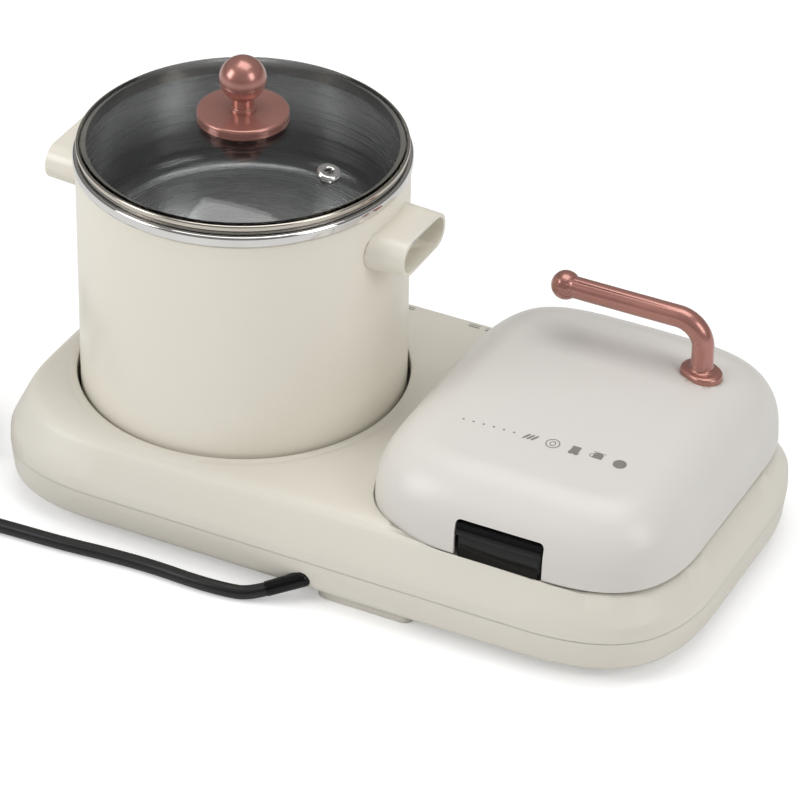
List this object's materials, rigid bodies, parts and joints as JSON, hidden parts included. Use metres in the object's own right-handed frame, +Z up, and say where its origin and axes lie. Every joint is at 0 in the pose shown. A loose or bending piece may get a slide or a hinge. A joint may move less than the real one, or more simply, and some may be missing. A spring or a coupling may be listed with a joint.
{
  "type": "breakfast station",
  "caption": "Breakfast station: a long ivory base with a heated well and lift-off lidded pot at one end and a hinged sandwich press with a rose-gold handle at the other.",
  "frame": {"origin": "on the table, under the middle of the machine's outline", "axes": "+Z up, +X towards the pot end, -Y the front with the knobs, +Y the rear with the hinge and the cord"},
  "size_m": [0.5307, 0.2576, 0.2464],
  "materials": {
    "ivory_plastic": "satin ivory",
    "black_plastic": "glossy black",
    "matte_black": "matte black",
    "rubber_grey": "matte rubber",
    "screw_steel": "plain steel",
    "sheet_steel": "satin stainless steel",
    "polished_steel": "polished stainless steel",
    "cast_plate": "dark non-stick coating",
    "bare_aluminium": "cast aluminium",
    "rose_metal": "glossy rose-gold coating",
    "clear_glass": "clear glass",
    "lamp_lens": "translucent lamp lens",
    "cord_rubber": "matte black cord sheath",
    "white_ceramic": "white terminal plastic",
    "green_board": "circuit board",
    "brass_pins": "nickelled brass"
  },
  "bodies": {
    "base": {"lower_housing": "ivory_plastic", "upper_housing": "ivory_plastic", "rear_foot_block": "ivory_plastic", "rubber_feet": "rubber_grey", "housing_screws": "screw_steel", "pot_well_liner": "sheet_steel", "hot_plate": "bare_aluminium", "hot_plate_element": "screw_steel", "hot_plate_bracket": "screw_steel", "sensor_guide": "screw_steel", "sensor_spring": "screw_steel", "lower_press_tray": "sheet_steel", "lower_press_plate": "cast_plate", "lower_press_element": "screw_steel", "press_thermostat": "screw_steel", "thermal_fuse": "screw_steel", "hinge_bracket": "black_plastic", "hinge_pin": "screw_steel", "terminal_block": "white_ceramic", "wire_harness": "white_ceramic", "timer_movement": "matte_black", "heat_switch": "matte_black", "button_switch": "matte_black", "button_spring": "screw_steel", "indicator_lenses": "lamp_lens", "indicator_board": "green_board", "cord_grommet": "cord_rubber", "cord_clamp": "matte_black", "power_cord": "cord_rubber", "cord_coil": "cord_rubber", "cord_tie": "matte_black", "mains_plug": "matte_black", "plug_pins": "brass_pins"},
    "press_lid": {"press_cover": "ivory_plastic", "press_liner": "matte_black", "upper_press_plate": "cast_plate", "upper_press_element": "screw_steel", "handle": "rose_metal", "handle_end_ball": "rose_metal", "handle_screws": "screw_steel", "cover_screws": "screw_steel"},
    "pot": {"pot_shell": "ivory_plastic", "pot_liner": "sheet_steel", "pot_base_plate": "sheet_steel", "press_side_ear": "ivory_plastic", "outer_side_ear": "ivory_plastic", "ear_rivets": "screw_steel"},
    "inner_pan": {"inner_pan": "sheet_steel"},
    "pot_lid": {"lid_glass": "clear_glass", "lid_rim": "polished_steel", "lid_knob": "rose_metal", "lid_knob_base": "rose_metal", "lid_knob_screw": "screw_steel", "steam_vent": "polished_steel"},
    "timer_knob": {"timer_knob": "ivory_plastic", "timer_shaft": "screw_steel"},
    "power_knob": {"power_knob": "ivory_plastic", "power_shaft": "screw_steel"},
    "start_button": {"start_button": "ivory_plastic"},
    "sensor_cap": {"sensor_cap": "bare_aluminium"}
  },
  "joints": [
    {"name": "press_lid_hinge", "type": "hinge", "parent": "base", "child": "press_lid", "pos_m": [-0.1069, 0.0945, 0.0655], "axis": [-1, 0, 0], "range_deg": [0, 100]},
    {"name": "pot_lift", "type": "slide", "parent": "base", "child": "pot", "axis": [0, 0, 1], "range_m": [0, 0.12]},
    {"name": "inner_pan_lift", "type": "slide", "parent": "pot", "child": "inner_pan", "axis": [0, 0, 1], "range_m": [0, 0.1]},
    {"name": "pot_lid_lift", "type": "slide", "parent": "inner_pan", "child": "pot_lid", "axis": [0, 0, 1], "range_m": [0, 0.06]},
    {"name": "timer_turn", "type": "hinge", "parent": "base", "child": "timer_knob", "pos_m": [-0.1054, -0.112, 0.02], "axis": [0, -1, 0], "range_deg": [0, 300]},
    {"name": "power_turn", "type": "hinge", "parent": "base", "child": "power_knob", "pos_m": [0.0938, -0.112, 0.02], "axis": [0, -1, 0], "range_deg": [0, 240]},
    {"name": "start_press", "type": "slide", "parent": "base", "child": "start_button", "axis": [0, 1, 0], "range_m": [0, 0.002], "stiffness_N_per_m": 300, "springref_m": -0.003},
    {"name": "sensor_press", "type": "slide", "parent": "base", "child": "sensor_cap", "axis": [0, 0, 1], "range_m": [-0.0025, 0], "stiffness_N_per_m": 100, "springref_m": 0.004, "deforming": ["sensor_spring"]}
  ]
}
